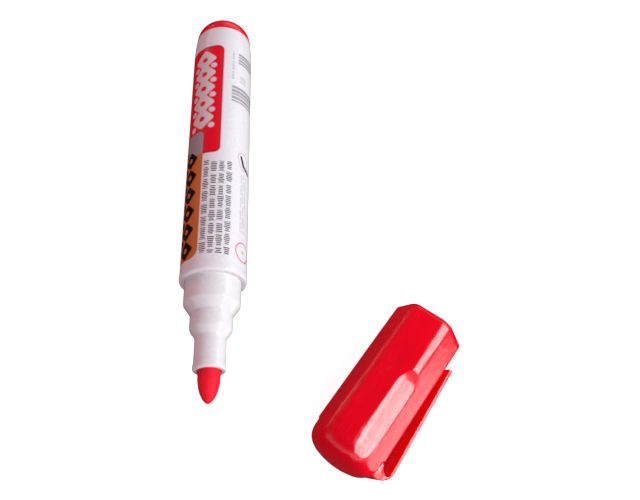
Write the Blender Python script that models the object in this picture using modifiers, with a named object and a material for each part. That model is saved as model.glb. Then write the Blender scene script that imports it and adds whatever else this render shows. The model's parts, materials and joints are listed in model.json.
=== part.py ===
"""A bullet-tip whiteboard marker lying on a table, with its pulled-off cap lying beside it.

Metres, +Z up. The marker lies along Y with its nib towards -Y. The cap lies to the right, on +X, with its
open mouth pointing away from the nib's side. Both axes are at the same height, so the cap comes in line
with the marker when it swings about its upright pole. The origin is on the table, under the middle of the
pair's bounding box.

Turned pieces are profiles of (radius, z) points in millimetres. The marker's own z runs from the nib to the
end plug, with zero at the barrel's front end. The cap's own z runs from its crown to its mouth, with zero at
the mouth, and the clip is on its +X side.
"""

import math

import bpy
from mathutils import Matrix, Vector

MM = 0.001

# Layout on the table
SHOULDER_AT = Vector((-0.0268, -0.0210))  # middle of the barrel's front end
AXIS_HEIGHT = 0.00882
CAP_MOUTH_FROM_SHOULDER = Vector((0.0550, -0.0122))
CAP_YAW = math.radians(36.65)  # how far the mouth's direction turns from +Y towards +X
CLIP_DROOP = math.radians(28.0)  # the clip points this far below the horizontal
LINED_UP_GAP = 0.0450  # shoulder to cap mouth once the cap has swung in line, clear of the nib

# Barrel, in millimetres from here on
BARREL_R = 8.75
BARREL_BORE_R = 7.50
BARREL_LENGTH = 84.2
BARREL_REAR_R = 8.28
REAR_TAPER_LENGTH = 8.0
LIP_R = 8.82
LIP_LENGTH = 1.9
LIP_EDGE = 0.42

# Nose section: three steps down to the nib
COLLAR_R = 7.36
COLLAR_LENGTH = 6.8
COLLAR_EDGE_R = 0.9
STEP_R = 5.47
STEP_FROM, STEP_TO = 8.9, 12.6
SNOUT_R = 4.02
SNOUT_FROM, SNOUT_TO = 15.6, 23.8
NOSE_BEAD_R = 4.15
NOSE_BEAD_LENGTH = 1.0
NOSE_EDGE_R = 0.75
NOSE_WALL = 1.2
SKIRT_INSIDE = 9.0
SKIRT_BORE_R = 6.75

# Ink system
NIB_R = 2.84
NIB_TIP = 31.85
NIB_TAPER_FROM = 25.0
NIB_INSIDE = 9.0
NIB_FIT = 0.15
NIB_BLUNTNESS = 0.58  # 0.5 would make the nib's end half an ellipse, and 1 would make it more pointed
RESERVOIR_R = 6.25
RESERVOIR_FROM, RESERVOIR_TO = 1.0, 76.9
FILM_R = 6.40
FILM_WALL = 0.15
FILM_SHORTER = 0.6  # how far the film stops short of the reservoir at each end

# End plug
PLUG_SEAM = 0.15
PLUG_DOME_HEIGHT = 7.3
PLUG_FLAT_R = 1.7
PLUG_SKIRT_R = 7.36
PLUG_SKIRT_INSIDE = 6.6
PLUG_WALL = 1.2
PLUG_CEILING_RISE = 1.5  # where the hollow starts to round over, above the seat

# Cap: a rounded hexagon with a domed crown. Its corners are sharpest at its two sides, where each
# carries a milled flat, and softest at its back, away from the clip.
CAP_APOTHEM = 8.50
SIDE_CORNER_R, CLIP_CORNER_R, BACK_CORNER_R = 1.8, 2.4, 3.4
CAP_LENGTH = 42.5
CAP_BORE_R = 7.50
CAP_BORE_DEPTH = 39.8
CROWN_R = 9.55
CROWN_EDGE_R = 5.4
CROWN_FROM = 36.6
CROWN_EDGE_SWEEP = 70  # degrees, before the edge meets the low dome
CROWN_FLAT_R = 2.2
MOUTH_CHAMFER_R, MOUTH_CHAMFER_LENGTH = 0.3, 0.6
FLAT_AT = 8.25  # distance of the two side flats from the cap's axis
FLAT_FROM = 20.5
FLAT_RUNOUT_R = 13.0
FLAT_CUT_WIDTH, FLAT_CUT_DEPTH = 12.0, 4.0

# Clip
CLIP_WIDTH = 6.0
CLIP_THICKNESS = 1.06
CLIP_TIP_Z, CLIP_ROOT_Z = -5.4, -37.2
CLIP_TIP_X, CLIP_ROOT_X = 10.10, 12.00  # the inner face's distance from the axis
CLIP_BOTTOM_Z = -39.4
CLIP_OUTER_BEND_R = 4.2
CLIP_INNER_BEND_R = 2.2
CLIP_BURIED_X = 8.0
CLIP_EDGE_R = 0.22

# Inner seal of the cap
SEAL_R = 7.35
SEAL_FROM, SEAL_TO = 8.8, 39.5
SEAL_LIP_R = 5.62
SEAL_LIP_LENGTH = 3.2
SEAL_BORE_R = 6.45
SEAL_FLOOR = 0.9
SEAL_CORNER_R = 1.0

TURN_STEPS = 48
SMALL_STEPS = 32
EDGE = 0.3  # chamfer on small edges
OVERSHOOT = 2.0  # how far a cutter runs past what it cuts


def clear_scene():
    for item in list(bpy.data.objects):
        bpy.data.objects.remove(item, do_unlink=True)


def collection(name):
    group = bpy.data.collections.new(name)
    bpy.context.scene.collection.children.link(group)
    return group


def plastic(name, colour, roughness):
    material = bpy.data.materials.new(name)
    material.use_nodes = True
    shader = material.node_tree.nodes["Principled BSDF"]
    shader.inputs["Base Color"].default_value = (*colour, 1.0)
    shader.inputs["Roughness"].default_value = roughness
    shader.inputs["Metallic"].default_value = 0.0
    return material


def arc(centre_r, centre_z, radius, start, end, points):
    """Points on an arc, from start to end in degrees, with 0 pointing outwards and 90 along +z."""
    angles = [math.radians(start + (end - start) * i / (points - 1)) for i in range(points)]
    return [(centre_r + radius * math.cos(a), centre_z + radius * math.sin(a)) for a in angles]


def profile_mesh(name, profile, closed):
    """A chain of edges in the XZ plane."""
    corners = [(r * MM, 0.0, z * MM) for r, z in profile]
    edges = [(i, i + 1) for i in range(len(corners) - 1)]
    if closed:
        edges.append((len(corners) - 1, 0))
    mesh = bpy.data.meshes.new(name)
    mesh.from_pydata(corners, edges, [])
    return mesh


def turned(name, group, profile, material=None, steps=TURN_STEPS):
    """Turns a profile about Z. It starts at its rear end and runs down its outer side."""
    on_axis = profile[0][0] == 0.0
    item = bpy.data.objects.new(name, profile_mesh(name, profile, closed=not on_axis))
    group.objects.link(item)
    if material:
        item.data.materials.append(material)
    screw = item.modifiers.new("Turn", "SCREW")
    screw.axis = "Z"
    screw.steps = steps
    screw.render_steps = steps
    screw.use_merge_vertices = True
    screw.merge_threshold = 0.00001
    screw.use_smooth_shade = True
    return item


def boolean(item, cutter, operation):
    step = item.modifiers.new(cutter.name, "BOOLEAN")
    step.operation = operation
    step.solver = "EXACT"
    step.object = cutter


def as_cutter(item):
    item.hide_render = True
    item.display_type = "WIRE"
    return item


def pole_of_swing(start, end, angle):
    """The upright axis about which a turn by angle carries start to end."""
    across = end - start
    sideways = Vector((-across.y, across.x))
    return (start + end) / 2 + sideways / (2 * math.tan(angle / 2))


def empty(name, group, location, rotation=(0.0, 0.0, 0.0), parent=None):
    item = bpy.data.objects.new(name, None)
    item.empty_display_size = 0.01
    item.location = location
    item.rotation_euler = rotation
    item.parent = parent
    group.objects.link(item)
    return item


# --- the marker ---------------------------------------------------------------------------------


def barrel_profile():
    rear_round = [
        (BARREL_REAR_R - 0.25, BARREL_LENGTH),
        (BARREL_REAR_R, BARREL_LENGTH - 0.2),
        (BARREL_REAR_R + 0.25, BARREL_LENGTH - 1.6),
        (BARREL_R - 0.08, BARREL_LENGTH - REAR_TAPER_LENGTH / 2),
        (BARREL_R, BARREL_LENGTH - REAR_TAPER_LENGTH),
    ]
    lip = [
        (BARREL_R, LIP_LENGTH),
        (LIP_R - 0.03, LIP_LENGTH - 0.7),
        (LIP_R, 0.7),
        (LIP_R - 0.12, 0.25),
        (LIP_R - LIP_EDGE, 0.0),
    ]
    bore = [(BARREL_BORE_R, 0.0), (BARREL_BORE_R, BARREL_LENGTH)]
    return rear_round + lip + bore


def nose_profile():
    skirt = [(COLLAR_R - EDGE, SKIRT_INSIDE), (COLLAR_R, SKIRT_INSIDE - 0.5)]
    collar = arc(COLLAR_R - COLLAR_EDGE_R, COLLAR_EDGE_R - COLLAR_LENGTH, COLLAR_EDGE_R, 0, -50, 4)
    step = [(STEP_R + 0.28, 0.5 - STEP_FROM), (STEP_R, -STEP_FROM - 0.2)]
    blend_depth = STEP_R - SNOUT_R
    blend = []
    for i in range(7):
        t = i / 6
        ease = (1 - math.cos(math.pi * t)) / 2
        blend.append((STEP_R - blend_depth * ease, -STEP_TO - (SNOUT_FROM - STEP_TO) * t))
    bead_z = NOSE_BEAD_LENGTH - SNOUT_TO
    bead = [(SNOUT_R - 0.06, bead_z + 0.9), (NOSE_BEAD_R - 0.1, bead_z + 0.45)]
    bead += arc(NOSE_BEAD_R - NOSE_EDGE_R, bead_z - 0.05, NOSE_EDGE_R, 20, -75, 5)
    nib_bore = NIB_R + NIB_FIT
    inside = [
        (nib_bore + 0.25, -SNOUT_TO),
        (nib_bore, -SNOUT_TO + EDGE),
        (nib_bore, -SNOUT_FROM),
        (STEP_R - NOSE_WALL, -STEP_TO + 0.5),
        (STEP_R - NOSE_WALL, -STEP_FROM - 0.4),
        (SKIRT_BORE_R, -COLLAR_LENGTH + 0.6),
        (SKIRT_BORE_R, SKIRT_INSIDE),
    ]
    return skirt + collar + step + blend + bead + inside


def nib_profile():
    points = 9
    taper = []
    for i in range(points + 1):
        t = i / points
        radius = NIB_R * max(0.0, 1 - t**2) ** NIB_BLUNTNESS
        taper.append((radius, -NIB_TAPER_FROM - (NIB_TIP - NIB_TAPER_FROM) * t))
    taper[-1] = (0.0, -NIB_TIP)
    rear = [(0.0, NIB_INSIDE), (NIB_R - EDGE, NIB_INSIDE), (NIB_R, NIB_INSIDE - EDGE)]
    return rear + taper


def reservoir_profile():
    rod_bore = NIB_R + NIB_FIT
    return [
        (0.0, RESERVOIR_TO),
        (RESERVOIR_R, RESERVOIR_TO),
        (RESERVOIR_R, RESERVOIR_FROM),
        (rod_bore, RESERVOIR_FROM),
        (rod_bore, NIB_INSIDE + 0.3),
        (0.0, NIB_INSIDE + 0.3),
    ]


def film_profile():
    outer = FILM_R + FILM_WALL
    return [
        (outer, RESERVOIR_TO - FILM_SHORTER),
        (outer, RESERVOIR_FROM + FILM_SHORTER),
        (FILM_R, RESERVOIR_FROM + FILM_SHORTER),
        (FILM_R, RESERVOIR_TO - FILM_SHORTER),
    ]


def plug_profile():
    seat = BARREL_LENGTH + PLUG_SEAM
    flat_angle = math.acos(PLUG_FLAT_R / BARREL_REAR_R)
    scale = PLUG_DOME_HEIGHT / math.sin(flat_angle)
    points = 9
    dome = []
    for i in range(points):
        a = flat_angle * (1 - i / (points - 1))
        dome.append((BARREL_REAR_R * math.cos(a), seat + scale * math.sin(a)))
    dome[-1] = (BARREL_REAR_R, seat + 0.25)
    foot = BARREL_LENGTH - PLUG_SKIRT_INSIDE
    skirt = [
        (BARREL_REAR_R - 0.25, seat),
        (PLUG_SKIRT_R, seat),
        (PLUG_SKIRT_R, foot + 1.0),
        (PLUG_SKIRT_R - 0.5, foot),
        (PLUG_SKIRT_R - PLUG_WALL, foot),
        (PLUG_SKIRT_R - PLUG_WALL, seat + PLUG_CEILING_RISE),
    ]
    hollow = []
    rise = PLUG_DOME_HEIGHT - PLUG_WALL - PLUG_CEILING_RISE
    for i in range(1, 5):
        a = math.pi / 2 * i / 4
        radius = (PLUG_SKIRT_R - PLUG_WALL) * math.cos(a)
        hollow.append((radius, seat + PLUG_CEILING_RISE + rise * math.sin(a)))
    hollow[-1] = (0.0, hollow[-1][1])
    return [(0.0, seat + PLUG_DOME_HEIGHT)] + dome + skirt + hollow


def build_marker(group, white, red, felt, fibre, film):
    centre = (*SHOULDER_AT, AXIS_HEIGHT)
    axis = empty("marker_axis", group, centre, (math.radians(-90), 0.0, 0.0))
    pieces = [
        turned("barrel", group, barrel_profile(), white),
        turned("nose_section", group, nose_profile(), white),
        turned("nib", group, nib_profile(), felt, SMALL_STEPS),
        turned("ink_reservoir", group, reservoir_profile(), fibre, SMALL_STEPS),
        turned("reservoir_film", group, film_profile(), film, SMALL_STEPS),
        turned("end_plug", group, plug_profile(), red),
    ]
    for piece in pieces:
        piece.parent = axis


# --- the cap ------------------------------------------------------------------------------------


def hexagon_body(group, material):
    """The cap's outer prism: six flats, one of them facing +X under the clip, with rounded corners."""
    length = CAP_LENGTH + OVERSHOOT
    corner = CAP_APOTHEM / math.cos(math.radians(30))
    bpy.ops.mesh.primitive_cylinder_add(vertices=6, radius=corner * MM, depth=length * MM)
    item = bpy.context.object
    item.name = item.data.name = "cap_shell"
    item.data.transform(Matrix.Translation((0.0, 0.0, -length / 2 * MM)))
    for old in list(item.users_collection):
        old.objects.unlink(item)
    group.objects.link(item)
    item.data.materials.append(material)
    weights = item.data.attributes.new("bevel_weight_edge", "FLOAT", "EDGE")
    for edge in item.data.edges:
        a, b = (item.data.vertices[v].co for v in edge.vertices)
        if abs(a.z - b.z) < length * MM / 2:
            continue
        from_clip = abs(math.degrees(math.atan2(a.y, a.x)))
        radius = CLIP_CORNER_R if from_clip < 60 else SIDE_CORNER_R if from_clip < 120 else BACK_CORNER_R
        weights.data[edge.index].value = radius / BACK_CORNER_R
    bevel = item.modifiers.new("Rounded corners", "BEVEL")
    bevel.limit_method = "WEIGHT"
    bevel.width = BACK_CORNER_R * math.tan(math.radians(30)) * MM
    bevel.segments = 6
    return item


def crown_profile():
    """A turned body that holds the whole cap and rounds off its crown."""
    side = [(0.0, 0.0), (CROWN_R + 1.0, 0.0), (CROWN_R + 1.0, 2.0 - CROWN_FROM)]
    edge = arc(CROWN_R - CROWN_EDGE_R, -CROWN_FROM, CROWN_EDGE_R, 0, -CROWN_EDGE_SWEEP, 8)
    dome = [(4.2, 0.32 - CAP_LENGTH), (CROWN_FLAT_R, -CAP_LENGTH), (0.0, -CAP_LENGTH)]
    return side + edge + dome


def bore_profile():
    inner = 1.0
    end = arc(CAP_BORE_R - inner, inner - CAP_BORE_DEPTH, inner, 0, -90, 4)
    wide = CAP_BORE_R + MOUTH_CHAMFER_R
    mouth = [(0.0, OVERSHOOT), (wide, OVERSHOOT), (wide, 0.0), (CAP_BORE_R, -MOUTH_CHAMFER_LENGTH)]
    return mouth + end + [(0.0, -CAP_BORE_DEPTH)]


def flat_cutters(group):
    """Mills a flat across the cap's two corners at +Y and -Y, running out in a gentle ramp."""
    cutters = []
    reach = CAP_LENGTH + OVERSHOOT - FLAT_FROM
    for side in (1, -1):
        bpy.ops.mesh.primitive_cube_add(size=1.0)
        block = bpy.context.object
        block.dimensions = (FLAT_CUT_WIDTH * MM, FLAT_CUT_DEPTH * MM, reach * MM)
        block.location = (0.0, side * (FLAT_AT + FLAT_CUT_DEPTH / 2) * MM, -(FLAT_FROM + reach / 2) * MM)
        bpy.ops.mesh.primitive_cylinder_add(
            vertices=96, radius=FLAT_RUNOUT_R * MM, depth=FLAT_CUT_WIDTH * MM
        )
        runout = bpy.context.object
        runout.rotation_euler = (0.0, math.radians(90), 0.0)
        runout.location = (0.0, side * (FLAT_AT + FLAT_RUNOUT_R) * MM, -FLAT_FROM * MM)
        word = "left" if side > 0 else "right"
        for item, name in ((block, "flat"), (runout, "runout")):
            item.name = item.data.name = f"{name}_{word}"
            cutters.append(item)
    bpy.ops.object.select_all(action="DESELECT")
    for item in cutters:
        item.select_set(True)
    bpy.ops.object.transform_apply(location=True, rotation=True, scale=True)
    for item in cutters:
        for old in list(item.users_collection):
            old.objects.unlink(item)
        group.objects.link(as_cutter(item))
    return cutters


def clip_outline():
    """The clip's side view, counter-clockwise from its buried root, as (x, z)."""
    slope = (CLIP_TIP_X - CLIP_ROOT_X) / (CLIP_TIP_Z - CLIP_ROOT_Z)
    outer_root_x = CLIP_ROOT_X + CLIP_THICKNESS
    outer_bend = arc(
        outer_root_x - CLIP_OUTER_BEND_R, CLIP_BOTTOM_Z + CLIP_OUTER_BEND_R, CLIP_OUTER_BEND_R, -90, 0, 9
    )
    inner_bend = arc(
        CLIP_ROOT_X - CLIP_INNER_BEND_R - 0.1, CLIP_ROOT_Z + CLIP_INNER_BEND_R, CLIP_INNER_BEND_R, 0, -90, 7
    )
    tip_outer_x = outer_root_x + slope * (CLIP_TIP_Z - CLIP_ROOT_Z)
    tip = [(tip_outer_x - 0.05, CLIP_TIP_Z - 0.3), (tip_outer_x - 0.35, CLIP_TIP_Z)]
    tip += [(CLIP_TIP_X + 0.2, CLIP_TIP_Z), (CLIP_TIP_X, CLIP_TIP_Z - 0.2)]
    root = [(CLIP_BURIED_X, CLIP_ROOT_Z), (CLIP_BURIED_X, CLIP_BOTTOM_Z)]
    return outer_bend + tip + inner_bend + root


def clip_body(group):
    """Fills the clip's outline and thickens it to the clip's width, centred on the XZ plane."""
    outline = clip_outline()
    mesh = bpy.data.meshes.new("clip_blank")
    corners = [(x * MM, -CLIP_WIDTH / 2 * MM, z * MM) for x, z in outline]
    mesh.from_pydata(corners, [], [tuple(range(len(corners)))])
    item = bpy.data.objects.new("clip_blank", mesh)
    group.objects.link(as_cutter(item))
    solid = item.modifiers.new("Width", "SOLIDIFY")
    solid.thickness = CLIP_WIDTH * MM
    solid.offset = -1.0
    bevel = item.modifiers.new("Soft edges", "BEVEL")
    bevel.width = CLIP_EDGE_R * MM
    bevel.segments = 2
    bevel.angle_limit = math.radians(50)
    return item


def seal_profile():
    """A cup, from the middle of its floor up its inside and down its outside."""
    lip_end = -(SEAL_FROM + SEAL_LIP_LENGTH)
    corner = arc(
        SEAL_BORE_R - SEAL_CORNER_R, SEAL_FLOOR + SEAL_CORNER_R - SEAL_TO, SEAL_CORNER_R, -90, 0, 4
    )
    lip = [(SEAL_BORE_R, lip_end - 1.0), (SEAL_LIP_R, lip_end + 0.5), (SEAL_LIP_R, -SEAL_FROM - 0.6)]
    rim = [(SEAL_LIP_R + 0.5, -SEAL_FROM), (SEAL_R - EDGE, -SEAL_FROM), (SEAL_R, -SEAL_FROM - EDGE)]
    outer = [(SEAL_R, 1.2 - SEAL_TO), (SEAL_R - 1.2, -SEAL_TO), (0.0, -SEAL_TO)]
    return [(0.0, SEAL_FLOOR - SEAL_TO)] + corner + lip + rim + outer


def build_cap(group, cutters, red, pale):
    start = SHOULDER_AT + CAP_MOUTH_FROM_SHOULDER
    lined_up = SHOULDER_AT - Vector((0.0, LINED_UP_GAP))
    pole = pole_of_swing(start, lined_up, CAP_YAW)
    swing = empty("cap_swing_axis", group, (*pole, 0.0))
    mouth = Vector((*(start - pole), AXIS_HEIGHT))
    axis = empty("cap_axis", group, mouth, (math.radians(-90), 0.0, -CAP_YAW), swing)
    shell = hexagon_body(group, red)
    crown = as_cutter(turned("crown", cutters, crown_profile(), steps=2 * TURN_STEPS))
    bore = as_cutter(turned("bore", cutters, bore_profile()))
    clip = clip_body(cutters)
    tools = [(crown, "INTERSECT"), (bore, "DIFFERENCE"), (clip, "UNION")]
    tools += [(item, "DIFFERENCE") for item in flat_cutters(cutters)]
    for tool, operation in tools:
        boolean(shell, tool, operation)
        tool.parent = axis
        tool.rotation_euler.z = CLIP_DROOP
    seal = turned("cap_inner_seal", group, seal_profile(), pale)
    for piece in (shell, seal):
        piece.parent = axis
        piece.rotation_euler.z = CLIP_DROOP
    shell.data.shade_smooth()
    shell.data.set_sharp_from_angle(angle=math.radians(35))


def main():
    clear_scene()
    group = collection("whiteboard_marker")
    cutters = collection("cutters")
    white = plastic("white_polypropylene", (0.80, 0.78, 0.82), 0.35)
    red = plastic("red_polypropylene", (0.78, 0.008, 0.022), 0.25)
    felt = plastic("red_inked_fibre", (0.70, 0.015, 0.03), 0.9)
    fibre = plastic("soaked_fibre", (0.55, 0.06, 0.08), 0.95)
    film = plastic("clear_film", (0.85, 0.80, 0.80), 0.2)
    pale = plastic("natural_polyethylene", (0.80, 0.76, 0.72), 0.45)
    build_marker(group, white, red, felt, fibre, film)
    build_cap(group, cutters, red, pale)


main()
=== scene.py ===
"""The looks of a bullet-tip whiteboard marker and its pulled-off cap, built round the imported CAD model.

Profiles are in millimetres, as (radius, along) for turned pieces. The marker's own "along" is zero at the
barrel's front end and grows towards the end plug. The cap's own "along" is zero at its mouth and grows
towards its crown. Each frame is then laid where the CAD model has that piece.
"""

import json
import math

import bmesh
import bpy
import numpy as np
from mathutils import Matrix, Vector


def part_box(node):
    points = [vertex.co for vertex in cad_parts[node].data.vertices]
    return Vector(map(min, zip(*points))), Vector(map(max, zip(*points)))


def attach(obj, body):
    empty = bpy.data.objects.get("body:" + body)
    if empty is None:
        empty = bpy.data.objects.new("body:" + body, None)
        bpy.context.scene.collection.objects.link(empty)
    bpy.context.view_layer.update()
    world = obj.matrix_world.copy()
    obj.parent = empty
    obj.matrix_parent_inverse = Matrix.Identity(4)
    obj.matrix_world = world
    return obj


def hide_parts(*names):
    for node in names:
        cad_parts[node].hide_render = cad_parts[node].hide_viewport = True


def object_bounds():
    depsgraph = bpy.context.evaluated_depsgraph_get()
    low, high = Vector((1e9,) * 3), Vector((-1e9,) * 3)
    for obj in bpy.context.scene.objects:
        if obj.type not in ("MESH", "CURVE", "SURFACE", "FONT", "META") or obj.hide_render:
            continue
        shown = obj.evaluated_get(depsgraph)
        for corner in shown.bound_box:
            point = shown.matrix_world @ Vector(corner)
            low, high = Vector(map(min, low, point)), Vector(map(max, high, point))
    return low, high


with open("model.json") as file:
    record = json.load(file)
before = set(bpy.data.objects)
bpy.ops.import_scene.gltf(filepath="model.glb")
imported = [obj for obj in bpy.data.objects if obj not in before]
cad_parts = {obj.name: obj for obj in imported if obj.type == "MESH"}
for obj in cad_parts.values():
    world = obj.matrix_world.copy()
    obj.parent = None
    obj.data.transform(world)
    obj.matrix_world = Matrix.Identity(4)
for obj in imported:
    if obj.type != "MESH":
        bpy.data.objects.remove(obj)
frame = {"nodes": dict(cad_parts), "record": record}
cad_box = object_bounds()

MM = 0.001
TURN_STEPS = 192

# The view: places in metres, turns in degrees, the lens in millimetres. The shoulder is the middle of the
# barrel's front end.
CAMERA_FROM_SHOULDER = Vector((0.014509, -0.086585))
CAMERA_HEIGHT = 0.179296
CAMERA_PITCH, CAMERA_YAW, CAMERA_ROLL = 29.87, -7.97, 7.09
SENSOR_WIDTH = 36.0
LENS = 41.15

# Driving sizes, in millimetres. R is a radius, AT is a distance from the axis, and FROM and TO are places
# along a piece. First the barrel, then the nose, the nib and the end plug.
BARREL_R = 8.75
BARREL_BORE_R = 7.5
BARREL_LENGTH = 84.2
BARREL_REAR_R = 8.28
LIP_R = 8.82
COLLAR_R = 7.36
STEP_R = 5.47
STEP_TO, SNOUT_FROM = 12.6, 15.6
SNOUT_R = 4.02
SNOUT_TO = 23.8
SNOUT_BEAD_R = 4.17
SNOUT_HOLE_R = 3.06
NOSE_SKIRT_BORE_R, NOSE_SKIRT_TO = 6.75, 9.0
NOSE_BORE_R = 4.3
NIB_R = 2.84
NIB_TIP = 31.85
NIB_TAPER_FROM = 25.0
NIB_ROD_TO = 9.0
PLUG_SEAM = 0.15
PLUG_DOME_HEIGHT = 7.3
PLUG_SKIRT_R, PLUG_BORE_R, PLUG_SKIRT_DEPTH = 7.36, 6.16, 6.6
PLUG_DOME_WALL = 1.2

# The cap. Its corner radii go by the corner's angle from the clip, and its droop is how far, in degrees,
# the clip points below level. The corners at its sides are cut twice: by a chamfer and by a milled flat.
CAP_APOTHEM = 8.5
CAP_LENGTH = 42.5
CAP_BORE_R = 7.5
CAP_BORE_DEPTH = 39.8
CAP_RIM_R = 0.35
CAP_CORNER_RADII = {30: 2.4, 90: 1.3, 150: 3.2, 210: 3.2, 270: 1.3, 330: 2.4}
SIDE_CORNERS = (90, 270)
CROWN_R = 9.55
CROWN_EDGE_R = 5.4
CROWN_FROM = 36.6
CROWN_FLAT_R, CROWN_FALL = 1.4, 0.0396
MILLED_AT = 8.25
MILLED_FROM = 20.5
RUNOUT_R, RUNOUT_REACH = 13.0, 9.0
CORNER_FLAT_AT, CORNER_FLAT_LEAN = 9.22, 0.008
CHAMFER_BLEND, CROWN_BLEND, MILLED_BLEND = 0.25, 1.8, 0.16
CLIP_DROOP = 28.0
CLIP_WIDTH, CLIP_EDGE_R = 6.0, 0.24
CLIP_TIP = 5.4
CLIP_ROOT_IN, CLIP_ROOT_TO = 8.0, 39.4
SEAL_R, SEAL_BORE_R, SEAL_LIP_R = 7.35, 6.45, 5.62
SEAL_FROM, SEAL_TO = 8.8, 39.5

# Stands for "no limit" where radii are compared
FAR = 99.0


# --- frames ---------------------------------------------------------------------------------------


def marker_frame():
    """Local X is row X, local Y is straight up, and local Z is along the barrel towards the end plug."""
    low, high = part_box("barrel")
    middle = (low + high) / 2
    axes = Matrix(((1, 0, 0), (0, 0, 1), (0, 1, 0))).to_4x4()
    return Matrix.Translation((middle.x, low.y, middle.z)) @ axes @ Matrix.Scale(MM, 4)


def cap_frame():
    """Local Z runs from the mouth to the crown, local X points along the clip's side."""
    crown = next(m for m in frame["record"]["mounts"] if m["name"] == "cap_crown")
    back = Vector(crown["axis"]).normalized()
    mouth = Vector(crown["pos_m"]) - back * CAP_LENGTH * MM
    side = Vector((-back.y, back.x, 0.0))
    droop = math.radians(CLIP_DROOP)
    clip = side * math.cos(droop) - Vector((0, 0, 1)) * math.sin(droop)
    third = back.cross(clip)
    axes = Matrix((clip, third, back)).transposed().to_4x4()
    return Matrix.Translation(mouth) @ axes @ Matrix.Scale(MM, 4)


MARKER = marker_frame()
CAP = cap_frame()


# --- mesh tools -----------------------------------------------------------------------------------


def rounded(corners, arc_step=9.0):
    """A smooth chain from (r, z, fillet radius) corners, each corner replaced by its fillet arc."""
    points = []
    for i, (r, z, fillet) in enumerate(corners):
        here = np.array((r, z), float)
        if fillet <= 0 or i in (0, len(corners) - 1):
            points.append(tuple(here))
            continue
        before = np.array(corners[i - 1][:2], float) - here
        after = np.array(corners[i + 1][:2], float) - here
        reach_before, reach_after = np.linalg.norm(before), np.linalg.norm(after)
        before, after = before / reach_before, after / reach_after
        half = math.acos(float(np.clip(before @ after, -1, 1))) / 2
        share_before = 0.49 if corners[i - 1][2] > 0 else 0.98
        share_after = 0.49 if corners[i + 1][2] > 0 else 0.98
        setback = min(fillet / math.tan(half), share_before * reach_before, share_after * reach_after)
        radius = setback * math.tan(half)
        middle = here + (before + after) / np.linalg.norm(before + after) * radius / math.sin(half)
        start, end = here + before * setback - middle, here + after * setback - middle
        sweep = math.pi - 2 * half
        turn = math.copysign(1.0, start[0] * end[1] - start[1] * end[0])
        count = max(2, round(math.degrees(sweep) / arc_step) + 1)
        for k in range(count):
            a = turn * sweep * k / (count - 1)
            c, s = math.cos(a), math.sin(a)
            points.append(tuple(middle + (c * start[0] - s * start[1], s * start[0] + c * start[1])))
    return points


def new_object(name, vertices, faces, placing):
    """A smooth-shaded mesh object, its vertices carried to the row frame by placing."""
    vertices = np.asarray(vertices, float)
    world = np.array(placing, float)
    vertices = vertices @ world[:3, :3].T + world[:3, 3]
    mesh = bpy.data.meshes.new(name)
    mesh.from_pydata(vertices.tolist(), [], faces)
    mesh.validate()
    work = bmesh.new()
    work.from_mesh(mesh)
    bmesh.ops.recalc_face_normals(work, faces=work.faces)
    work.to_mesh(mesh)
    work.free()
    mesh.shade_smooth()
    item = bpy.data.objects.new(name, mesh)
    bpy.context.scene.collection.objects.link(item)
    return item


def rings_to_faces(rings, steps, closed):
    """Quads between rings of steps vertices. A closed chain of rings joins its last ring to its first."""
    faces = []
    for i in range(rings if closed else rings - 1):
        a, b = i * steps, (i + 1) % rings * steps
        for j in range(steps):
            k = (j + 1) % steps
            faces.append((a + j, a + k, b + k, b + j))
    return faces


def turned(name, profile, placing, steps=TURN_STEPS):
    """Turns a profile about local Z. One that starts and ends on the axis makes a closed body with two
    poles, and any other is joined end to start."""
    poles = profile[0][0] < 1e-6
    body = profile[1:-1] if poles else profile
    angles = np.linspace(0, 2 * math.pi, steps, endpoint=False)
    vertices = [(r * math.cos(a), r * math.sin(a), z) for r, z in body for a in angles]
    faces = rings_to_faces(len(body), steps, closed=not poles)
    if poles:
        vertices += [(0.0, 0.0, profile[0][1]), (0.0, 0.0, profile[-1][1])]
        first, last, tail = len(vertices) - 2, len(vertices) - 1, (len(body) - 1) * steps
        for j in range(steps):
            k = (j + 1) % steps
            faces += [(first, k, j), (last, tail + j, tail + k)]
    return new_object(name, vertices, faces, placing)


def piece(item, body, node, material):
    """Hands in a finished object as the looks of one CAD node."""
    item.data.materials.append(material)
    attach(item, body)
    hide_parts(node)
    return item


# --- the marker's turned pieces -------------------------------------------------------------------


def barrel_profile():
    """From the bore's front edge round the lip, along the outside and over the rear edge to the bore."""
    seat_r = COLLAR_R + 0.03
    return rounded(
        [
            (BARREL_BORE_R, 1.2, 0),
            (seat_r, 0.8, 0),
            (seat_r, 0.15, 0),
            (COLLAR_R + 0.12, 0.0, 0.05),
            (LIP_R, 0.0, 0.85),
            (LIP_R, 1.5, 1.2),
            (BARREL_R - 0.02, 2.3, 1.0),
            (BARREL_R, 20.0, 0),
            (BARREL_R, 40.0, 0),
            (BARREL_R, 60.0, 0),
            (BARREL_R, 78.0, 30.0),
            (BARREL_REAR_R + 0.2, BARREL_LENGTH - 1.6, 6.0),
            (BARREL_REAR_R - 0.05, BARREL_LENGTH, 0.25),
            (BARREL_BORE_R, BARREL_LENGTH, 0),
        ],
        arc_step=4.0,
    )


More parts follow.
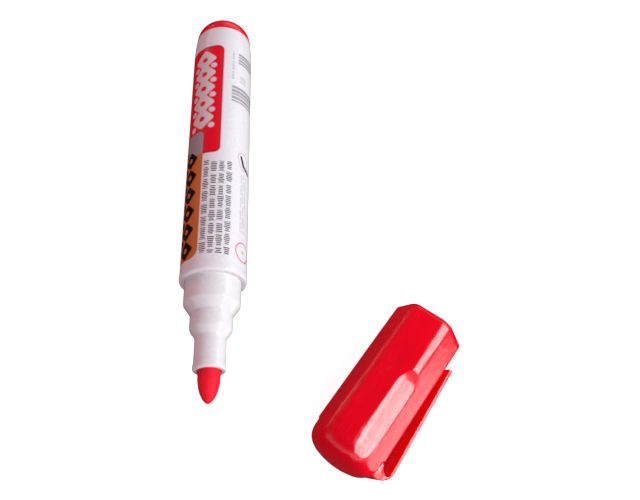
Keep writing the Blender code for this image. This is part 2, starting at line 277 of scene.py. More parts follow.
def nose_profile():
    """From the skirt inside the barrel over collar, step and snout, then back through the bore."""
    samples = 12
    blend = []
    for i in range(samples + 1):
        ease = (1 - math.cos(math.pi * i / samples)) / 2
        along = -STEP_TO - (SNOUT_FROM - STEP_TO) * i / samples
        blend.append((STEP_R + (SNOUT_R - STEP_R) * ease, along, 0))
    return rounded(
        [
            (NOSE_SKIRT_BORE_R, NOSE_SKIRT_TO, 0),
            (COLLAR_R, NOSE_SKIRT_TO, 0.4),
            (COLLAR_R, 0.0, 0),
            (COLLAR_R, -6.2, 0.9),
            (STEP_R + 0.06, -8.85, 0.35),
            (STEP_R, -9.6, 0.5),
            *blend,
            (SNOUT_R, -SNOUT_TO + 2.1, 1.2),
            (SNOUT_BEAD_R, -SNOUT_TO + 1.45, 0.5),
            (SNOUT_BEAD_R, -SNOUT_TO, 0.75),
            (SNOUT_HOLE_R, -SNOUT_TO, 0.18),
            (SNOUT_HOLE_R, -SNOUT_FROM, 0),
            (NOSE_BORE_R, -STEP_TO, 0),
            (NOSE_BORE_R, -9.4, 0),
            (NOSE_SKIRT_BORE_R, -6.2, 0),
        ]
    )


def nib_profile():
    """A rod with a bullet tip, from its end inside the reservoir to the tip."""
    samples, bluntness = 28, 0.58
    taper = []
    for i in range(samples + 1):
        t = math.sin(math.pi / 2 * i / samples)
        radius = NIB_R * (1 - t**2) ** bluntness if i < samples else 0.0
        taper.append((radius, -NIB_TAPER_FROM - (NIB_TIP - NIB_TAPER_FROM) * t))
    chamfer = 0.3
    rod = [
        (0.0, NIB_ROD_TO),
        (NIB_R - chamfer, NIB_ROD_TO),
        (NIB_R, NIB_ROD_TO - chamfer),
        (NIB_R, -SNOUT_FROM),
    ]
    return rod + taper


def plug_profile():
    """From the dome's middle over its edge to the skirt's foot inside the barrel, then up the hollow."""
    seat = BARREL_LENGTH + PLUG_SEAM
    foot = BARREL_LENGTH - PLUG_SKIRT_DEPTH
    samples = 24
    dome = [(0.0, seat + PLUG_DOME_HEIGHT)]
    for i in range(1, samples):
        a = math.pi / 2 * i / samples
        height = PLUG_DOME_HEIGHT * (math.cos(a) * 0.985 + 0.015)
        dome.append((BARREL_REAR_R * math.sin(a), seat + height))
    skirt = rounded(
        [
            (BARREL_REAR_R, seat + 0.4, 0),
            (BARREL_REAR_R, seat, 0.2),
            (PLUG_SKIRT_R, seat, 0),
            (PLUG_SKIRT_R, foot, 0.5),
            (PLUG_BORE_R, foot, 0),
            (PLUG_BORE_R, seat + 2.0, 2.0),
            (3.0, seat + PLUG_DOME_HEIGHT - PLUG_DOME_WALL - 0.1, 3.0),
            (0.0, seat + PLUG_DOME_HEIGHT - PLUG_DOME_WALL, 0),
        ]
    )
    return dome + skirt


# --- the cap --------------------------------------------------------------------------------------


def smaller(a, b, blend):
    """The smaller of two distances, rounded off where they meet."""
    near = np.maximum(blend - np.abs(a - b), 0.0) / blend
    return np.minimum(a, b) - near * near * blend / 4


def away(angle, centre):
    """How far each angle lies from centre, from -pi to pi."""
    return (angle - centre + math.pi) % (2 * math.pi) - math.pi


def hexagon_radius(angle):
    """Six flats, one square to local X, with rounded corners that are tightest at the sides."""
    radius = np.full_like(angle, np.inf)
    for k in range(6):
        off = away(angle, math.radians(60 * k))
        radius = np.minimum(radius, CAP_APOTHEM / np.maximum(np.cos(off), 0.5))
    for degrees, rho in CAP_CORNER_RADII.items():
        off = away(angle, math.radians(degrees))
        centre = (CAP_APOTHEM - rho) / math.cos(math.radians(30))
        limit = math.atan2(rho * 0.5, centre + rho * math.cos(math.radians(30)))
        inside = np.abs(off) < limit
        arc = centre * np.cos(off) + np.sqrt(np.maximum(rho**2 - (centre * np.sin(off)) ** 2, 0))
        radius = np.where(inside, arc, radius)
    return radius


def crown_rows():
    """(radius limit, along) down the crown: a quarter round, then a low dome to the pole."""
    rows = []
    first, sweep, samples = -6, 76, 22
    for i in range(samples + 1):
        a = math.radians(first + sweep * i / samples)
        limit = CROWN_R - CROWN_EDGE_R + CROWN_EDGE_R * math.cos(a)
        rows.append((limit, CROWN_FROM + CROWN_EDGE_R * math.sin(a)))
    edge = rows[-1][0]
    for i in range(1, 15):
        r = edge * (1 - i / 15)
        rows.append((r, CAP_LENGTH - CROWN_FALL * max(0.0, r - CROWN_FLAT_R) ** 2))
    return rows


def cap_rows():
    """(radius limit, along, inset) down the cap's outside: the mouth's rim, the side, then the crown."""
    rows = []
    for i in range(7):
        a = math.pi / 2 * i / 6
        rows.append((FAR, CAP_RIM_R * (1 - math.sin(a)), CAP_RIM_R * (1 - math.cos(a))))
    # the rows lie closer where the milled flats run out
    mouth_end = np.linspace(0.8, 11.0, 18)
    run_out = np.linspace(11.2, 21.0, 50)
    crown_end = np.linspace(21.4, CROWN_FROM - 1.2, 24)
    rows += [(FAR, z, 0.0) for z in (*mouth_end, *run_out, *crown_end)]
    return rows + [(limit, z, 0.0) for limit, z in crown_rows()]


def flat_radius(angle, facing, distance, least_lean):
    """The radius at which rays meet a flat that faces one way at a distance from the axis."""
    lean = np.cos(away(angle, math.radians(facing)))
    return np.where(lean > least_lean, distance / np.maximum(lean, least_lean), FAR)


def section_radius(angle, hexagon, limit, z):
    """The cap's outline at one height: the hexagon, cut by its side corners, crown and milled flats."""
    chamfer = CORNER_FLAT_AT - CORNER_FLAT_LEAN * max(0.0, MILLED_FROM - z)
    radius = hexagon
    for facing in SIDE_CORNERS:
        radius = smaller(radius, flat_radius(angle, facing, chamfer, 0.5), CHAMFER_BLEND)
    if limit < FAR:
        radius = smaller(radius, np.full_like(angle, limit), min(CROWN_BLEND, limit))
    if z > MILLED_FROM - RUNOUT_REACH:
        short = max(0.0, MILLED_FROM - z)
        depth = MILLED_AT + RUNOUT_R - math.sqrt(RUNOUT_R**2 - short**2)
        for facing in SIDE_CORNERS:
            radius = smaller(radius, flat_radius(angle, facing, depth, 0.3), MILLED_BLEND)
    return radius


def cap_body(steps=360):
    """The cap's shell without its clip: outside down from the mouth to the crown, then the bore."""
    angle = np.linspace(0, 2 * math.pi, steps, endpoint=False)
    hexagon = hexagon_radius(angle)
    rows = cap_rows()
    vertices = []
    for limit, z, inset in rows:
        radius = section_radius(angle, hexagon, limit, z) - inset
        vertices += [(r * math.cos(a), r * math.sin(a), z) for r, a in zip(radius, angle)]
    bore = rounded(
        [
            (CAP_BORE_R - 0.2, CAP_BORE_DEPTH, 0),
            (CAP_BORE_R, CAP_BORE_DEPTH - 0.5, 0),
            (CAP_BORE_R, 0.7, 0.4),
            (CAP_BORE_R + 0.25, 0.0, 0),
        ]
    )
    for r, z in reversed(bore):
        vertices += [(r * math.cos(a), r * math.sin(a), z) for a in angle]
    crown = len(vertices)
    vertices += [(0.0, 0.0, CAP_LENGTH), (0.0, 0.0, CAP_BORE_DEPTH)]
    # the chain runs: crown pole, outer rows backwards to the mouth, bore down to its floor pole
    faces = []
    rings = [list(range(i * steps, (i + 1) * steps)) for i in range(len(rows) + len(bore))]
    chain = rings[: len(rows)][::-1] + rings[len(rows) :]
    for a, b in zip(chain, chain[1:]):
        for j in range(steps):
            k = (j + 1) % steps
            faces.append((a[j], a[k], b[k], b[j]))
    for j in range(steps):
        k = (j + 1) % steps
        faces.append((crown, chain[0][k], chain[0][j]))
        faces.append((crown + 1, chain[-1][j], chain[-1][k]))
    return vertices, faces


def clip_outline():
    """The clip's side view as (x, along), with its root buried in the crown: first the web that closes the
    gap's crown end, then the inner face down to the tip, and the outer face back up."""
    outline = [
        (CLIP_ROOT_IN, 33.4, 0),
        (10.1, 36.9, 1.8),
        (12.02, 37.3, 1.6),
        (10.1, CLIP_TIP, 0.3),
        (11.16, CLIP_TIP, 0.4),
        (13.06, CLIP_ROOT_TO, 4.2),
        (CLIP_ROOT_IN, CLIP_ROOT_TO, 0),
    ]
    return rounded(outline, arc_step=6.0)


def clip_object():
    """The clip's side view as one flat face."""
    corners = [(x, 0.0, z) for x, z in clip_outline()]
    mesh = bpy.data.meshes.new("clip")
    mesh.from_pydata(corners, [], [tuple(range(len(corners)))])
    item = bpy.data.objects.new("clip", mesh)
    bpy.context.scene.collection.objects.link(item)
    return item


def applied(item):
    """Replaces an object's mesh with its evaluated one and drops the modifiers."""
    evaluated = item.evaluated_get(bpy.context.evaluated_depsgraph_get())
    mesh = bpy.data.meshes.new_from_object(evaluated)
    old = item.data
    item.modifiers.clear()
    item.data = mesh
    bpy.data.meshes.remove(old)
    return item


def build_cap(material):
    """Gives the clip its width and soft edges, joins it to the shell and lays the cap in its place."""
    vertices, faces = cap_body()
    shell = new_object("cap_moulding", vertices, faces, Matrix.Identity(4))
    clip = clip_object()
    solid = clip.modifiers.new("Width", "SOLIDIFY")
    solid.thickness = CLIP_WIDTH
    solid.offset = 0.0
    soft = clip.modifiers.new("Soft edges", "BEVEL")
    soft.width = CLIP_EDGE_R
    soft.segments = 4
    soft.angle_limit = math.radians(50)
    applied(clip)
    join = shell.modifiers.new("Clip", "BOOLEAN")
    join.operation = "UNION"
    join.solver = "EXACT"
    join.object = clip
    applied(shell)
    bpy.data.objects.remove(clip)
    shell.data.transform(CAP)
    shell.data.shade_smooth()
    shell.data.set_sharp_from_angle(angle=math.radians(40))
    return piece(shell, "cap", "cap_shell", material)


def seal_profile():
    """A thimble in the crown's end of the bore, with a narrower lip at its mouth."""
    return rounded(
        [
            (0.0, SEAL_TO - 0.9, 0),
            (SEAL_BORE_R, SEAL_TO - 0.9, 1.0),
            (SEAL_BORE_R, 13.0, 0.5),
            (SEAL_LIP_R, 11.5, 0.4),
            (SEAL_LIP_R, SEAL_FROM + 0.5, 0.3),
            (SEAL_LIP_R + 0.5, SEAL_FROM, 0.1),
            (SEAL_R, SEAL_FROM, 0.3),
            (SEAL_R, SEAL_TO - 1.2, 0.8),
            (SEAL_R - 1.2, SEAL_TO, 0.5),
            (0.0, SEAL_TO, 0),
        ]
    )


# --- materials ------------------------------------------------------------------------------------


class Nodes:
    """A node tree, its nodes added by calls that give back sockets."""

    def __init__(self, tree):
        self.tree = tree

    def put(self, socket, value):
        """Links a socket or sets a value, and leaves the default where the value is None."""
        if isinstance(value, bpy.types.NodeSocket):
            self.tree.links.new(value, socket)
        elif value is not None:
            socket.default_value = value

    def math(self, operation, a, b=None, c=None):
        node = self.tree.nodes.new("ShaderNodeMath")
        node.operation = operation
        for socket, value in zip(node.inputs, (a, b, c)):
            self.put(socket, value)
        return node.outputs[0]

    def vector(self, operation, a, b=None):
        node = self.tree.nodes.new("ShaderNodeVectorMath")
        node.operation = operation
        self.put(node.inputs[0], a)
        self.put(node.inputs[1], b)
        return node.outputs["Value" if operation in ("LENGTH", "DOT_PRODUCT") else "Vector"]

    def combine(self, x, y, z=0.0):
        node = self.tree.nodes.new("ShaderNodeCombineXYZ")
        for socket, value in zip(node.inputs, (x, y, z)):
            self.put(socket, value)
        return node.outputs[0]

    def noise(self, vector, scale, detail=3.0, roughness=0.55):
        node = self.tree.nodes.new("ShaderNodeTexNoise")
        self.put(node.inputs["Vector"], vector)
        node.inputs["Scale"].default_value = scale
        node.inputs["Detail"].default_value = detail
        node.inputs["Roughness"].default_value = roughness
        return node.outputs["Fac"]

    def drawn_out(self, x, y, along, squeeze):
        """A point whose noise is stretched along the piece, because along is squeezed."""
        return self.combine(x, y, self.math("MULTIPLY", along, squeeze))

    def random(self, vector):
        node = self.tree.nodes.new("ShaderNodeTexWhiteNoise")
        node.noise_dimensions = "2D"
        self.put(node.inputs["Vector"], vector)
        return node.outputs["Value"]

    def ramp(self, value, low, high, start=0.0, end=1.0, smooth=False):
        """Maps low..high to start..end and clamps it."""
        node = self.tree.nodes.new("ShaderNodeMapRange")
        node.interpolation_type = "SMOOTHSTEP" if smooth else "LINEAR"
        self.put(node.inputs["Value"], value)
        for name, number in (("From Min", low), ("From Max", high), ("To Min", start), ("To Max", end)):
            node.inputs[name].default_value = number
        return node.outputs["Result"]

    def mix(self, amount, under, over, blend="MIX"):
        node = self.tree.nodes.new("ShaderNodeMix")
        node.data_type = "RGBA"
        node.blend_type = blend
        self.put(node.inputs[0], amount)
        self.put(node.inputs[6], under)
        self.put(node.inputs[7], over)
        return node.outputs[2]

    def bump(self, height, strength, distance):
        node = self.tree.nodes.new("ShaderNodeBump")
        self.put(node.inputs["Height"], height)
        node.inputs["Strength"].default_value = strength
        node.inputs["Distance"].default_value = distance
        return node.outputs["Normal"]

    def place(self, placing):
        """The point in a piece's own frame, in millimetres, as three sockets."""
        coordinates = self.tree.nodes.new("ShaderNodeTexCoord").outputs["Object"]
        inverse = placing.inverted()
        sockets = []
        for row in range(3):
            direction = tuple(inverse[row][:3])
            sockets.append(
                self.math("ADD", self.vector("DOT_PRODUCT", coordinates, direction), inverse[row][3])
            )
        return sockets


class Graph(Nodes):
    """The nodes of a new material with one Principled shader."""

    def __init__(self, name):
        self.material = bpy.data.materials.new(name)
        self.material.use_nodes = True
        super().__init__(self.material.node_tree)
        self.shader = self.tree.nodes["Principled BSDF"]

    def finish(self, **values):
        names = {"colour": "Base Color", "roughness": "Roughness", "normal": "Normal"}
        for key, value in values.items():
            self.put(self.shader.inputs[names[key]], value)
        return self.material


def srgb(red, green, blue):
    """A colour given as 0 to 255 display values."""
    linear = []
    for shown in (red, green, blue):
        c = shown / 255
        linear.append(c / 12.92 if shown <= 10 else ((c + 0.055) / 1.055) ** 2.4)
    return (*linear, 1.0)


WHITE_PLASTIC = (0.78, 0.76, 0.80, 1.0)
RED_PLASTIC = (0.97, 0.0008, 0.017, 1.0)
SCRATCHED_RED = (0.30, 0.004, 0.014, 1.0)
RUBBED_RED = (0.97, 0.36, 0.38, 1.0)
SCORED_RED = (0.25, 0.003, 0.012, 1.0)
SUBSURFACE_RADIUS = (1.0, 0.06, 0.08)

# Where the score lines run on the cap's milled flats, across the flat, and how far they sway
SCORE_LINES, SCORE_SWAY = (-0.9, -0.35, 0.3), 0.8

# Small print: the pitch of its word-like groups and of the dashes in them, along the barrel
WORD_PITCH, DASH_PITCH = 3.9, 0.56


# Ink on the barrel. Places are (around, along) in millimetres: around is measured on the surface from the
# top of the barrel towards the cap's side, along from the barrel's front end.


class Print:
    """Ink laid over a base colour, shape by shape."""

    def __init__(self, graph, around, along, base):
        self.graph = graph
        self.around = around
        self.along = along
        self.point = graph.combine(around, along)
        self.colour = base

    def lay(self, mask, ink):
        self.colour = self.graph.mix(mask, self.colour, ink)

    def block(self, centre, half, corner, soft=0.12, turn=0.0):
        """The mask of a rounded rectangle."""
        g = self.graph
        local = g.vector("SUBTRACT", self.point, (*centre, 0.0))
        if turn:
            spin = g.tree.nodes.new("ShaderNodeVectorRotate")
            spin.rotation_type = "Z_AXIS"
            g.put(spin.inputs["Vector"], local)
            spin.inputs["Angle"].default_value = math.radians(turn)
            local = spin.outputs[0]
        folded = g.vector("ABSOLUTE", local)
        beyond = g.vector("SUBTRACT", folded, (half[0] - corner, half[1] - corner, 0.0))
        far = g.vector("LENGTH", g.vector("MAXIMUM", beyond, (0.0, 0.0, 0.0)))
        return g.ramp(far, corner - soft, corner + soft, 1.0, 0.0)

    def ring(self, centre, radius, width, soft=0.08):
        """The mask of a thin ring."""
        g = self.graph
        far = g.vector("LENGTH", g.vector("SUBTRACT", self.point, (*centre, 0.0)))
        off = g.math("ABSOLUTE", g.math("SUBTRACT", far, radius))
        return g.ramp(off, width / 2 - soft, width / 2 + soft, 1.0, 0.0)

    def small_marks(self, around, along, pitch, lines, height):
        """Lines of short upright dashes in word-like groups, which stand for small print."""
        g = self.graph
        row = g.math("DIVIDE", g.math("SUBTRACT", self.around, around), pitch)
        line = g.math("FLOOR", row)
        across = g.math("SUBTRACT", g.math("FRACT", row), 0.5)
        shift = g.math("MULTIPLY", g.random(g.combine(line, 7.0)), 3.0)
        walk = g.math("ADD", g.math("DIVIDE", self.along, WORD_PITCH), shift)
        word = g.math("FLOOR", walk)
        filled = g.math("ADD", g.math("MULTIPLY", g.random(g.combine(line, word)), 0.18), 0.74)
        in_word = g.math("LESS_THAN", g.math("FRACT", walk), filled)
        step = g.math("DIVIDE", self.along, DASH_PITCH)
        dash = g.math("FLOOR", step)
        tall = g.math("MULTIPLY_ADD", g.random(g.combine(dash, line)), height * 0.22, height * 0.30)
        reach = g.math("DIVIDE", tall, pitch)
        thin = g.math("ABSOLUTE", g.math("SUBTRACT", g.math("FRACT", step), 0.5))
        stroke = g.ramp(thin, 0.24, 0.36, 1.0, 0.0)
        past_end = g.math("SUBTRACT", g.math("ABSOLUTE", across), reach)
        low = g.ramp(past_end, -0.03, 0.03, 1.0, 0.0)
        half = (pitch * lines / 2, (along[1] - along[0]) / 2)
        centre = (around + half[0], (along[0] + along[1]) / 2)
        region = self.block(centre, half, 0.02, soft=0.02)
        return g.math("MULTIPLY", g.math("MULTIPLY", in_word, stroke), g.math("MULTIPLY", low, region))


def degrees_round(angle):
    """Surface millimetres for an angle from the top of the barrel."""
    return math.radians(angle) * BARREL_R


def printed_barrel():
    """White plastic with everything that is printed on the barrel."""
    g = Graph("printed_white_plastic")
    x, y, along = g.place(MARKER)
    point = g.combine(x, y, along)
    around = g.math("MULTIPLY", g.math("ARCTAN2", x, y), BARREL_R)
    grain = g.ramp(g.noise(point, scale=1.4, detail=2.0), 0.35, 0.65)
    base = g.mix(grain, (0.76, 0.74, 0.785, 1.0), (0.80, 0.785, 0.82, 1.0))
    ink = Print(g, around, along, base)
    panels(ink)
    small_print(ink)
    side_marks(ink)
    normal = g.bump(g.noise(point, scale=0.9, detail=2.0), strength=0.05, distance=0.0002)
    rough = g.ramp(g.noise(point, scale=3.0, detail=3.0), 0.3, 0.7, start=0.15, end=0.22)
    return g.finish(colour=ink.colour, roughness=rough, normal=normal)


def panels(ink):
    """The red, grey and orange panels. A row of diamonds and dots stands in for each large word."""
    red = srgb(232, 12, 38)
    deep_red = srgb(190, 20, 45)
    orange = srgb(205, 112, 48)
    grey = srgb(160, 152, 158)
    pale = srgb(222, 208, 214)
    dark = srgb(30, 14, 12)
    red_centre, red_row = (-8.6, 56.1), -4.9
    ink.lay(ink.block(red_centre, (9.6, 20.0), 2.0, 0.2), deep_red)
    ink.lay(ink.block(red_centre, (9.1, 19.5), 1.7, 0.2), red)
    for i in range(5):
        along = 71.0 - 5.6 * i
        ink.lay(ink.block((red_row, along), (2.75, 2.75), 0.9, 0.2, turn=45.0), pale)
        ink.lay(ink.block((red_row, along), (0.9, 0.9), 0.85, 0.2), red)
        ink.lay(ink.block((red_row + 3.0, along - 2.8), (0.9, 0.9), 0.85, 0.2), pale)
        ink.lay(ink.block((red_row - 3.0, along - 2.8), (0.9, 0.9), 0.85, 0.2), pale)
    orange_row = -8.3
    ink.lay(ink.block((-11.5, 21.2), (7.6, 17.4), 2.6), orange)
    ink.lay(ink.block((-10.4, 40.2), (6.4, 4.0), 1.5), grey)
    for i in range(6):
        along = 6.9 + 5.7 * i
        ink.lay(ink.block((orange_row, along), (2.1, 2.1), 0.7, 0.15, turn=45.0), dark)
        ink.lay(ink.block((orange_row, along), (0.7, 0.7), 0.6, 0.15), orange)
        ink.lay(ink.block((orange_row - 2.3, along + 2.85), (1.0, 1.0), 0.9, 0.15), dark)


def small_print(ink):
    """Four lines of dashes beside the panels."""
    faint = srgb(98, 92, 98)
    ink.lay(ink.small_marks(degrees_round(-24.3), (4.4, 33.5), degrees_round(14.0), 4, 1.75), faint)


def side_marks(ink):
    """The ring, the bent stroke in its outline, three groups of plain bars and the palest small marks."""
    thin_red = srgb(235, 110, 115)
    brown = srgb(50, 28, 26)
    grey = srgb(138, 130, 138)
    light = srgb(188, 188, 194)
    ring_centre, outline_centre, outline_turn = (9.2, 6.9), (8.5, 35.4), -14.0
    ink.lay(ink.ring(ring_centre, 2.7, 0.38), thin_red)
    ink.lay(ink.block(ring_centre, (0.5, 0.5), 0.4), light)
    ink.lay(ink.block(outline_centre, (1.9, 2.9), 1.7, turn=outline_turn), light)
    ink.lay(ink.block(outline_centre, (1.6, 2.6), 1.45, turn=outline_turn), WHITE_PLASTIC)
    ink.lay(ink.block((8.1, 35.3), (0.42, 1.8), 0.4, turn=-20.0), brown)
    ink.lay(ink.block((9.8, 33.3), (0.42, 1.8), 0.4, turn=-60.0), brown)
    for along, width in ((55.5, 0.5), (56.7, 0.9), (58.0, 0.6), (59.2, 1.0), (60.6, 0.9)):
        ink.lay(ink.block((8.7, along), (5.0, width / 2), 0.12, 0.2), grey)
    for along, width in ((70.6, 0.6), (71.7, 0.8), (72.9, 0.6), (74.0, 0.8)):
        ink.lay(ink.block((8.9, along), (3.3, width / 2), 0.12, 0.2), grey)
    for along in (63.6, 64.6, 65.5):
        ink.lay(ink.block((7.4, along), (1.2, 0.25), 0.12, 0.2), light)
    ink.lay(ink.small_marks(3.4, (62.0, 75.0), 1.0, 1, 0.8), light)
    ink.lay(ink.small_marks(7.4, (12.5, 30.9), 0.84, 3, 0.6), light)


def moulded_white():
    """The nose's plain white plastic."""
    g = Graph("white_plastic")
    point = g.combine(*g.place(MARKER))
    cloud = g.ramp(g.noise(point, scale=1.1, detail=2.0), 0.35, 0.65)
    tint = g.mix(cloud, (0.76, 0.74, 0.78, 1.0), (0.80, 0.785, 0.815, 1.0))
    rough = g.ramp(g.noise(point, scale=2.6, detail=3.0), 0.3, 0.7, start=0.08, end=0.13)
    normal = g.bump(g.noise(point, scale=1.2, detail=2.0), strength=0.05, distance=0.0002)
    return g.finish(colour=tint, roughness=rough, normal=normal)


def inked_fibre():
    """The nib's matt fibre, streaked along its length."""
    g = Graph("inked_fibre")
    x, y, along = g.place(MARKER)
    streak = g.noise(g.drawn_out(x, y, along, 0.12), scale=7.0, detail=3.0)
    patch = g.noise(g.combine(x, y, along), scale=0.8, detail=2.0)
    fibre = g.mix(g.ramp(streak, 0.35, 0.65), (0.90, 0.001, 0.018, 1.0), (1.0, 0.009, 0.034, 1.0))
    colour = g.mix(g.ramp(patch, 0.3, 0.8, end=0.4), fibre, (0.95, 0.002, 0.03, 1.0))
    g.shader.inputs["Specular IOR Level"].default_value = 0.25
    normal = g.bump(streak, strength=0.5, distance=0.00012)
    return g.finish(colour=colour, roughness=0.62, normal=normal)


def scuffed(g, x, y, along, stretch, colour, rough):
    """Rubs the outermost flats pale over a stretch (from, to) along the piece, and scores a few lines."""
    start, end = stretch
    fade_in = g.ramp(along, start, start + 4.0)
    fade_out = g.ramp(along, end, end + 0.8, 1.0, 0.0)
    reach = g.math("MULTIPLY", fade_in, fade_out)
    outermost = g.ramp(g.math("ABSOLUTE", y), MILLED_AT - 0.35, MILLED_AT - 0.1)
    blotches = g.noise(g.drawn_out(x, y, along, 0.6), scale=0.6, detail=2.0, roughness=0.5)
    flecks = g.ramp(blotches, 0.30, 0.75)
    scuff = g.math("MULTIPLY", g.math("MULTIPLY", reach, outermost), flecks)
    colour = g.mix(g.math("MULTIPLY", scuff, 0.40), colour, RUBBED_RED)
    drift = g.noise(g.combine(0.0, g.math("MULTIPLY", along, 0.15)), scale=1.0, detail=1.0)
    swayed = g.math("ADD", x, g.math("MULTIPLY", drift, SCORE_SWAY))
    for at in SCORE_LINES:
        off = g.math("ABSOLUTE", g.math("SUBTRACT", swayed, at + SCORE_SWAY / 2))
        score = g.math("MULTIPLY", g.ramp(off, 0.02, 0.08, 1.0, 0.0), outermost)
        colour = g.mix(g.math("MULTIPLY", score, 0.5), colour, SCORED_RED)
        rough = g.math("MULTIPLY_ADD", score, 0.35, rough)
    return colour, rough


def glossy_red(name, placing, scuffs=None):
    """Red polypropylene with a soft gloss and fine lengthwise scratches. Scuffs, if given, is the stretch
    (from, to) along the piece in which its outermost flats are rubbed pale."""
    g = Graph(name)
    x, y, along = g.place(placing)
    lengthwise = g.noise(g.drawn_out(x, y, along, 0.03), scale=2.2, detail=2.0)
    line = g.math("ABSOLUTE", g.math("SUBTRACT", lengthwise, 0.5))
    patch = g.ramp(g.noise(g.combine(x, y, along), scale=0.22, detail=2.0), 0.44, 0.52)
    scratches = g.math("MULTIPLY", g.ramp(line, 0.004, 0.012, 1.0, 0.0), patch)
    rub = g.ramp(g.noise(g.drawn_out(x, y, along, 0.25), scale=1.3, detail=4.0), 0.45, 0.70)
    rough = g.math("MULTIPLY_ADD", rub, 0.12, 0.13)
    rough = g.math("MULTIPLY_ADD", scratches, 0.20, rough)
    colour = g.mix(g.math("MULTIPLY", scratches, 0.15), RED_PLASTIC, SCRATCHED_RED)
    if scuffs:
        colour, rough = scuffed(g, x, y, along, scuffs, colour, rough)
    waves = g.noise(g.drawn_out(x, y, along, 0.4), scale=0.35, detail=2.0)
    height = g.math("SUBTRACT", waves, g.math("MULTIPLY", scratches, 0.02))
    g.shader.inputs["Subsurface Weight"].default_value = 0.8
    g.shader.inputs["Subsurface Radius"].default_value = SUBSURFACE_RADIUS
    g.shader.inputs["Subsurface Scale"].default_value = 0.0024
    normal = g.bump(height, strength=0.6, distance=0.0003)
    return g.finish(colour=colour, roughness=rough, normal=normal)


def plain(name, placing, dark, light, roughness, scale=1.5):
    """A cloudy mix of two colours, for the pieces inside."""
    g = Graph(name)
    point = g.combine(*g.place(placing))
    colour = g.mix(g.ramp(g.noise(point, scale, detail=3.0), 0.35, 0.65), dark, light)
    return g.finish(colour=colour, roughness=roughness)


# --- studio ---------------------------------------------------------------------------------------

# The surroundings, by the upward part of the direction: (place, brightness) of the bright bands, and the
# colours below and above them
BANDS = ((0.02, 0.86), (0.30, 1.06), (0.60, 0.66))
BAND_COLOUR = (1.0, 0.92, 0.96)
BELOW_BANDS = (0.05, 0.035, 0.04, 1.0)
ABOVE_FROM, ABOVE_BANDS = 0.85, (0.03, 0.03, 0.032, 1.0)

# The tints towards the left and the right of the row, and where one passes into the other
LEFT_TINT, RIGHT_TINT = (1.14, 0.86, 0.86, 1.0), (0.98, 1.06, 1.08, 1.0)
LEFT_AT, RIGHT_AT = -0.8, 0.1

FLOOR_HALF_SIZE, FLOOR_GLOW = 20.0, 0.80


def softbox(name, direction, distance, size, radiance, colour=(1.0, 1.0, 1.0)):
    """An area light that faces the object from a direction, with its brightness given per area."""
    low, high = cad_box
    middle = (low + high) / 2
    lamp = bpy.data.lights.new(name, "AREA")
    lamp.shape = "RECTANGLE"
    lamp.size, lamp.size_y = size
    lamp.energy = radiance * math.pi * size[0] * size[1]
    lamp.color = colour
    item = bpy.data.objects.new(name, lamp)
    towards = Vector(direction).normalized()
    item.location = middle + towards * distance
    item.rotation_mode = "QUATERNION"
    item.rotation_quaternion = towards.to_track_quat("Z", "Y")
    bpy.context.scene.collection.objects.link(item)
    return item


def bands(g, height):
    """The surroundings' brightness by height."""
    ramp = g.tree.nodes.new("ShaderNodeValToRGB")
    g.put(ramp.inputs[0], height)
    stops = ramp.color_ramp.elements
    stops[0].position, stops[0].color = 0.0, BELOW_BANDS
    stops[1].position, stops[1].color = ABOVE_FROM, ABOVE_BANDS
    for place, level in BANDS:
        stop = stops.new(place)
        stop.color = (*(level * part for part in BAND_COLOUR), 1.0)
    return ramp.outputs["Color"]


def patch_of_sky(g, direction, middle, edge, core, outside, inside):
    """A round patch: outside is its value past edge degrees from its middle, inside within core degrees."""
    nearness = g.vector("DOT_PRODUCT", direction, Vector(middle).normalized())
    low, high = math.cos(math.radians(edge)), math.cos(math.radians(core))
    return g.ramp(nearness, low, high, outside, inside, smooth=True)


def surroundings():
    """Bright bands, pinker on the left, with a dark patch at the left back and a bright one at the right,
    below the row."""
    world = bpy.data.worlds.new("studio")
    bpy.context.scene.world = world
    world.use_nodes = True
    g = Nodes(world.node_tree)
    direction = g.tree.nodes.new("ShaderNodeTexCoord").outputs["Generated"]
    split = g.tree.nodes.new("ShaderNodeSeparateXYZ")
    g.put(split.inputs[0], direction)
    rightness = g.ramp(split.outputs["X"], LEFT_AT, RIGHT_AT, smooth=True)
    tint = g.mix(rightness, LEFT_TINT, RIGHT_TINT)
    dark = patch_of_sky(g, direction, (-0.55, 0.75, 0.35), edge=50, core=25, outside=1.0, inside=0.15)
    sheen = patch_of_sky(g, direction, (0.84, -0.42, -0.40), edge=19, core=12.5, outside=0.0, inside=3.0)
    colour = g.mix(1.0, bands(g, split.outputs["Z"]), tint, "MULTIPLY")
    colour = g.mix(1.0, colour, dark, "MULTIPLY")
    colour = g.mix(1.0, colour, sheen, "ADD")
    background = g.tree.nodes["Background"]
    g.put(background.inputs["Color"], colour)
    background.inputs["Strength"].default_value = 1.0


def lights():
    """A window at the right, two strips that draw thin highlights, and two broad fills."""
    softbox("window", (0.785, -0.20, 0.575), distance=0.60, size=(0.38, 0.20), radiance=12.6)
    softbox("side_strip", (0.80, 0.385, 0.44), distance=0.60, size=(0.05, 0.10), radiance=5.5)
    softbox("back_strip", (-0.522, 0.815, 0.231), distance=0.60, size=(0.14, 0.02), radiance=4.5)
    softbox("front_fill", (0.25, -0.95, 0.25), 0.9, (1.2, 0.6), radiance=0.70, colour=(1.0, 0.97, 1.0))
    left_fill = softbox(
        "left_fill", (-0.60, 0.75, 0.22), 0.9, (0.6, 0.4), radiance=4.6, colour=(1.0, 0.45, 0.49)
    )
    left_fill.visible_glossy = False


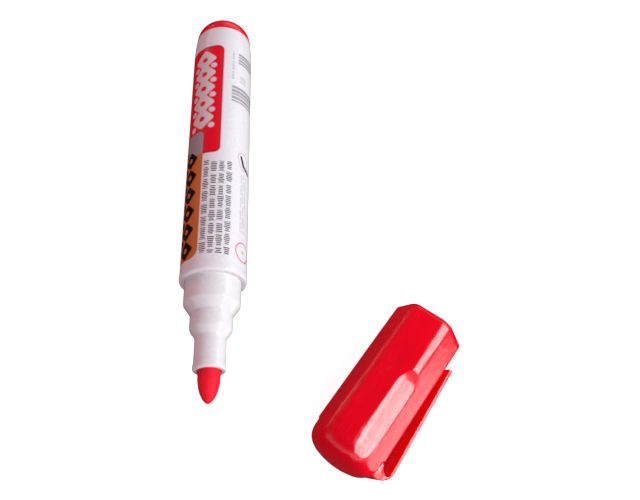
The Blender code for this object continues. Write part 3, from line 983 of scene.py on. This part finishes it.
def floor():
    """A pale, slightly glowing sheet that takes the contact shadow but lights nothing itself."""
    low, high = cad_box
    middle = (low + high) / 2
    signs = ((-1, -1), (1, -1), (1, 1), (-1, 1))
    corners = [
        (middle.x + sx * FLOOR_HALF_SIZE, middle.y + sy * FLOOR_HALF_SIZE, low.z) for sx, sy in signs
    ]
    mesh = bpy.data.meshes.new("floor")
    mesh.from_pydata(corners, [], [(0, 1, 2, 3)])
    item = bpy.data.objects.new("floor", mesh)
    bpy.context.scene.collection.objects.link(item)
    g = Graph("pale_floor")
    g.shader.inputs["Base Color"].default_value = (0.90, 0.90, 0.90, 1.0)
    g.shader.inputs["Roughness"].default_value = 1.0
    g.shader.inputs["Specular IOR Level"].default_value = 0.0
    g.shader.inputs["Emission Color"].default_value = (1.0, 1.0, 1.0, 1.0)
    g.shader.inputs["Emission Strength"].default_value = FLOOR_GLOW
    mesh.materials.append(g.material)
    item.visible_glossy = False
    item.visible_diffuse = False


def camera():
    """The view, placed from the middle of the barrel's front end."""
    low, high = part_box("barrel")
    shoulder_x = (low.x + high.x) / 2
    data = bpy.data.cameras.new("camera")
    data.sensor_width = SENSOR_WIDTH
    data.lens = LENS
    data.clip_start = 0.01
    item = bpy.data.objects.new("camera", data)
    bpy.context.scene.collection.objects.link(item)
    place = (shoulder_x + CAMERA_FROM_SHOULDER.x, low.y + CAMERA_FROM_SHOULDER.y, CAMERA_HEIGHT)
    turn = (
        Matrix.Rotation(math.radians(CAMERA_YAW), 4, "Z")
        @ Matrix.Rotation(math.radians(CAMERA_PITCH), 4, "X")
        @ Matrix.Rotation(math.radians(CAMERA_ROLL), 4, "Z")
    )
    item.matrix_world = Matrix.Translation(place) @ turn
    bpy.context.scene.camera = item


# --- assembly -------------------------------------------------------------------------------------


def repaint(node, material):
    """Colours a CAD node that is shown as it is."""
    mesh_object = frame["nodes"][node]
    mesh_object.data.materials.clear()
    mesh_object.data.materials.append(material)


white = moulded_white()
red_cap = glossy_red("glossy_red_cap", CAP, scuffs=(31.0, 38.0))
red_plug = glossy_red("glossy_red_plug", MARKER)
fibre = inked_fibre()
seal_plastic = plain("seal_plastic", CAP, (0.74, 0.70, 0.66, 1.0), (0.80, 0.77, 0.73, 1.0), 0.45)
soaked = plain("soaked_fibre", MARKER, (0.40, 0.02, 0.04, 1.0), (0.62, 0.05, 0.07, 1.0), 0.95, 4.0)
film = plain("clear_film", MARKER, (0.78, 0.72, 0.72, 1.0), (0.86, 0.82, 0.82, 1.0), 0.2)

piece(turned("barrel_tube", barrel_profile(), MARKER), "marker", "barrel", printed_barrel())
piece(turned("nose_moulding", nose_profile(), MARKER), "marker", "nose_section", white)
piece(turned("bullet_nib", nib_profile(), MARKER, 96), "marker", "nib", fibre)
piece(turned("domed_end_plug", plug_profile(), MARKER), "marker", "end_plug", red_plug)
build_cap(red_cap)
piece(turned("cap_liner", seal_profile(), CAP), "cap", "cap_inner_seal", seal_plastic)
repaint("ink_reservoir", soaked)
repaint("reservoir_film", film)

surroundings()
lights()
floor()
camera()
bpy.context.scene.view_settings.view_transform = "Standard"
bpy.context.scene.view_settings.look = "None"
